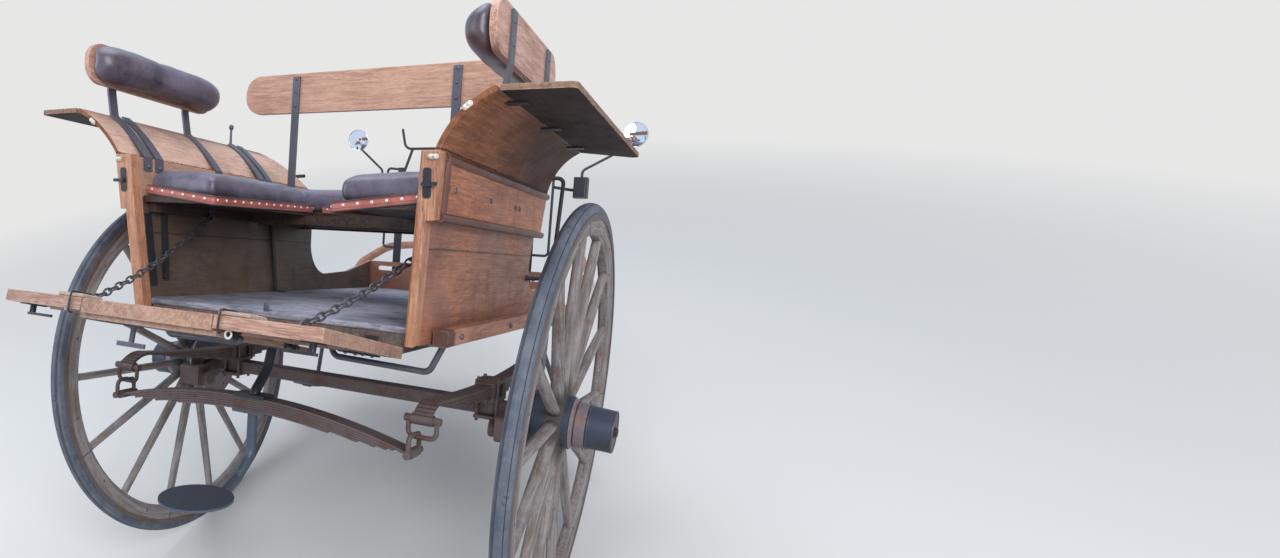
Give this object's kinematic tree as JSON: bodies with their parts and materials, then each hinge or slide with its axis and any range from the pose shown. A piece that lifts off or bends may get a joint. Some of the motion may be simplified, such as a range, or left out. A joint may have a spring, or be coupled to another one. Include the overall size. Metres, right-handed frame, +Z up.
{
  "type": "horse-drawn governess cart with flared sides, two wheels",
  "caption": "Varnished oak two-wheeled horse cart with flared sides, padded benches, lowered tailboard with its door, leaf springs and spoked wheels, resting on its shaft tips.",
  "frame": {"origin": "centre of the bounding box on the ground, with the cart standing on its wheels and its shaft tips", "axes": "+X forward along the shafts, +Y to the left, +Z up; the cart itself is pitched 21.04 degrees nose down about Y"},
  "size_m": [3.7044, 1.8166, 1.9383],
  "materials": {
    "oak": "varnished oak, worn at the edges",
    "tan_oak": "varnished oak, lighter",
    "wing_oak": "varnished oak with dark weather stains",
    "grey_oak": "bare weathered oak",
    "dark_oak": "dark weathered oak",
    "ash": "varnished ash, paler in front",
    "leather": "worn purple-brown hide",
    "black_iron": "black paint over forged iron",
    "rusty_iron": "brown surface rust",
    "galvanised": "dull galvanised steel",
    "tyre_rubber": "solid rubber, dusty",
    "mirror_shell": "polished shell and glass"
  },
  "bodies": {
    "body": {"arm_boards": "oak", "arm_irons": "black_iron", "arm_pad_left": "leather", "arm_pad_right": "leather", "axle": "rusty_iron", "axle_clips": "rusty_iron", "back_rail": "oak", "back_rail_irons": "black_iron", "brake_callipers": "rusty_iron", "corner_posts": "oak", "cross_spring": "rusty_iron", "dash_board": "oak", "dash_irons": "black_iron", "flare_board_left": "tan_oak", "flare_board_right": "tan_oak", "floor_boards": "grey_oak", "front_bench": "oak", "front_cushion": "leather", "front_steps": "black_iron", "grab_rails": "black_iron", "loop_irons": "black_iron", "mirror_arms": "black_iron", "mirrors": "mirror_shell", "post_latches": "black_iron", "rear_step": "galvanised", "shackles": "rusty_iron", "shaft_left": "ash", "shaft_right": "ash", "side_benches": "oak", "side_cushion_left": "leather", "side_cushion_right": "leather", "side_spring_left": "rusty_iron", "side_spring_right": "rusty_iron", "side_wall_left": "oak", "side_wall_right": "oak", "spring_hangers": "black_iron", "spring_post": "black_iron", "stay_chains": "rusty_iron", "tailboard_hinge_leaves": "black_iron", "under_frame": "dark_oak", "waist_panel_left": "oak", "waist_panel_right": "oak", "wall_irons": "black_iron", "wing_left": "wing_oak", "wing_right": "wing_oak", "wing_straps": "black_iron"},
    "wheel_left": {"tyre_left": "tyre_rubber", "wheel_band_left": "rusty_iron", "felloes_and_spokes_left": "grey_oak", "hub_left": "rusty_iron"},
    "wheel_right": {"tyre_right": "tyre_rubber", "wheel_band_right": "rusty_iron", "felloes_and_spokes_right": "grey_oak", "hub_right": "rusty_iron"},
    "tailboard": {"tailboard": "oak", "tailboard_straps": "black_iron", "door_hinge_pins": "black_iron"},
    "door": {"door": "oak", "door_irons": "black_iron"}
  },
  "joints": [
    {"name": "wheel_left", "type": "hinge", "parent": "body", "child": "wheel_left", "pos_m": [-0.91434, 0.756, 0.67911], "axis": [-0.02, 0.9984, -0.0521], "continuous": true},
    {"name": "wheel_right", "type": "hinge", "parent": "body", "child": "wheel_right", "pos_m": [-0.91434, -0.756, 0.67911], "axis": [-0.02, -0.9984, -0.0521], "continuous": true},
    {"name": "tailboard_hinge", "type": "hinge", "parent": "body", "child": "tailboard", "pos_m": [-1.3636, 0, 1.11099], "axis": [0, 1, 0], "range_deg": [0, 73], "deforming": ["stay_chains"]},
    {"name": "door_hinge", "type": "hinge", "parent": "tailboard", "child": "door", "pos_m": [-1.39716, -0.208, 1.08704], "axis": [-0.8513, 0, 0.5247], "range_deg": [0, 100]}
  ]
}
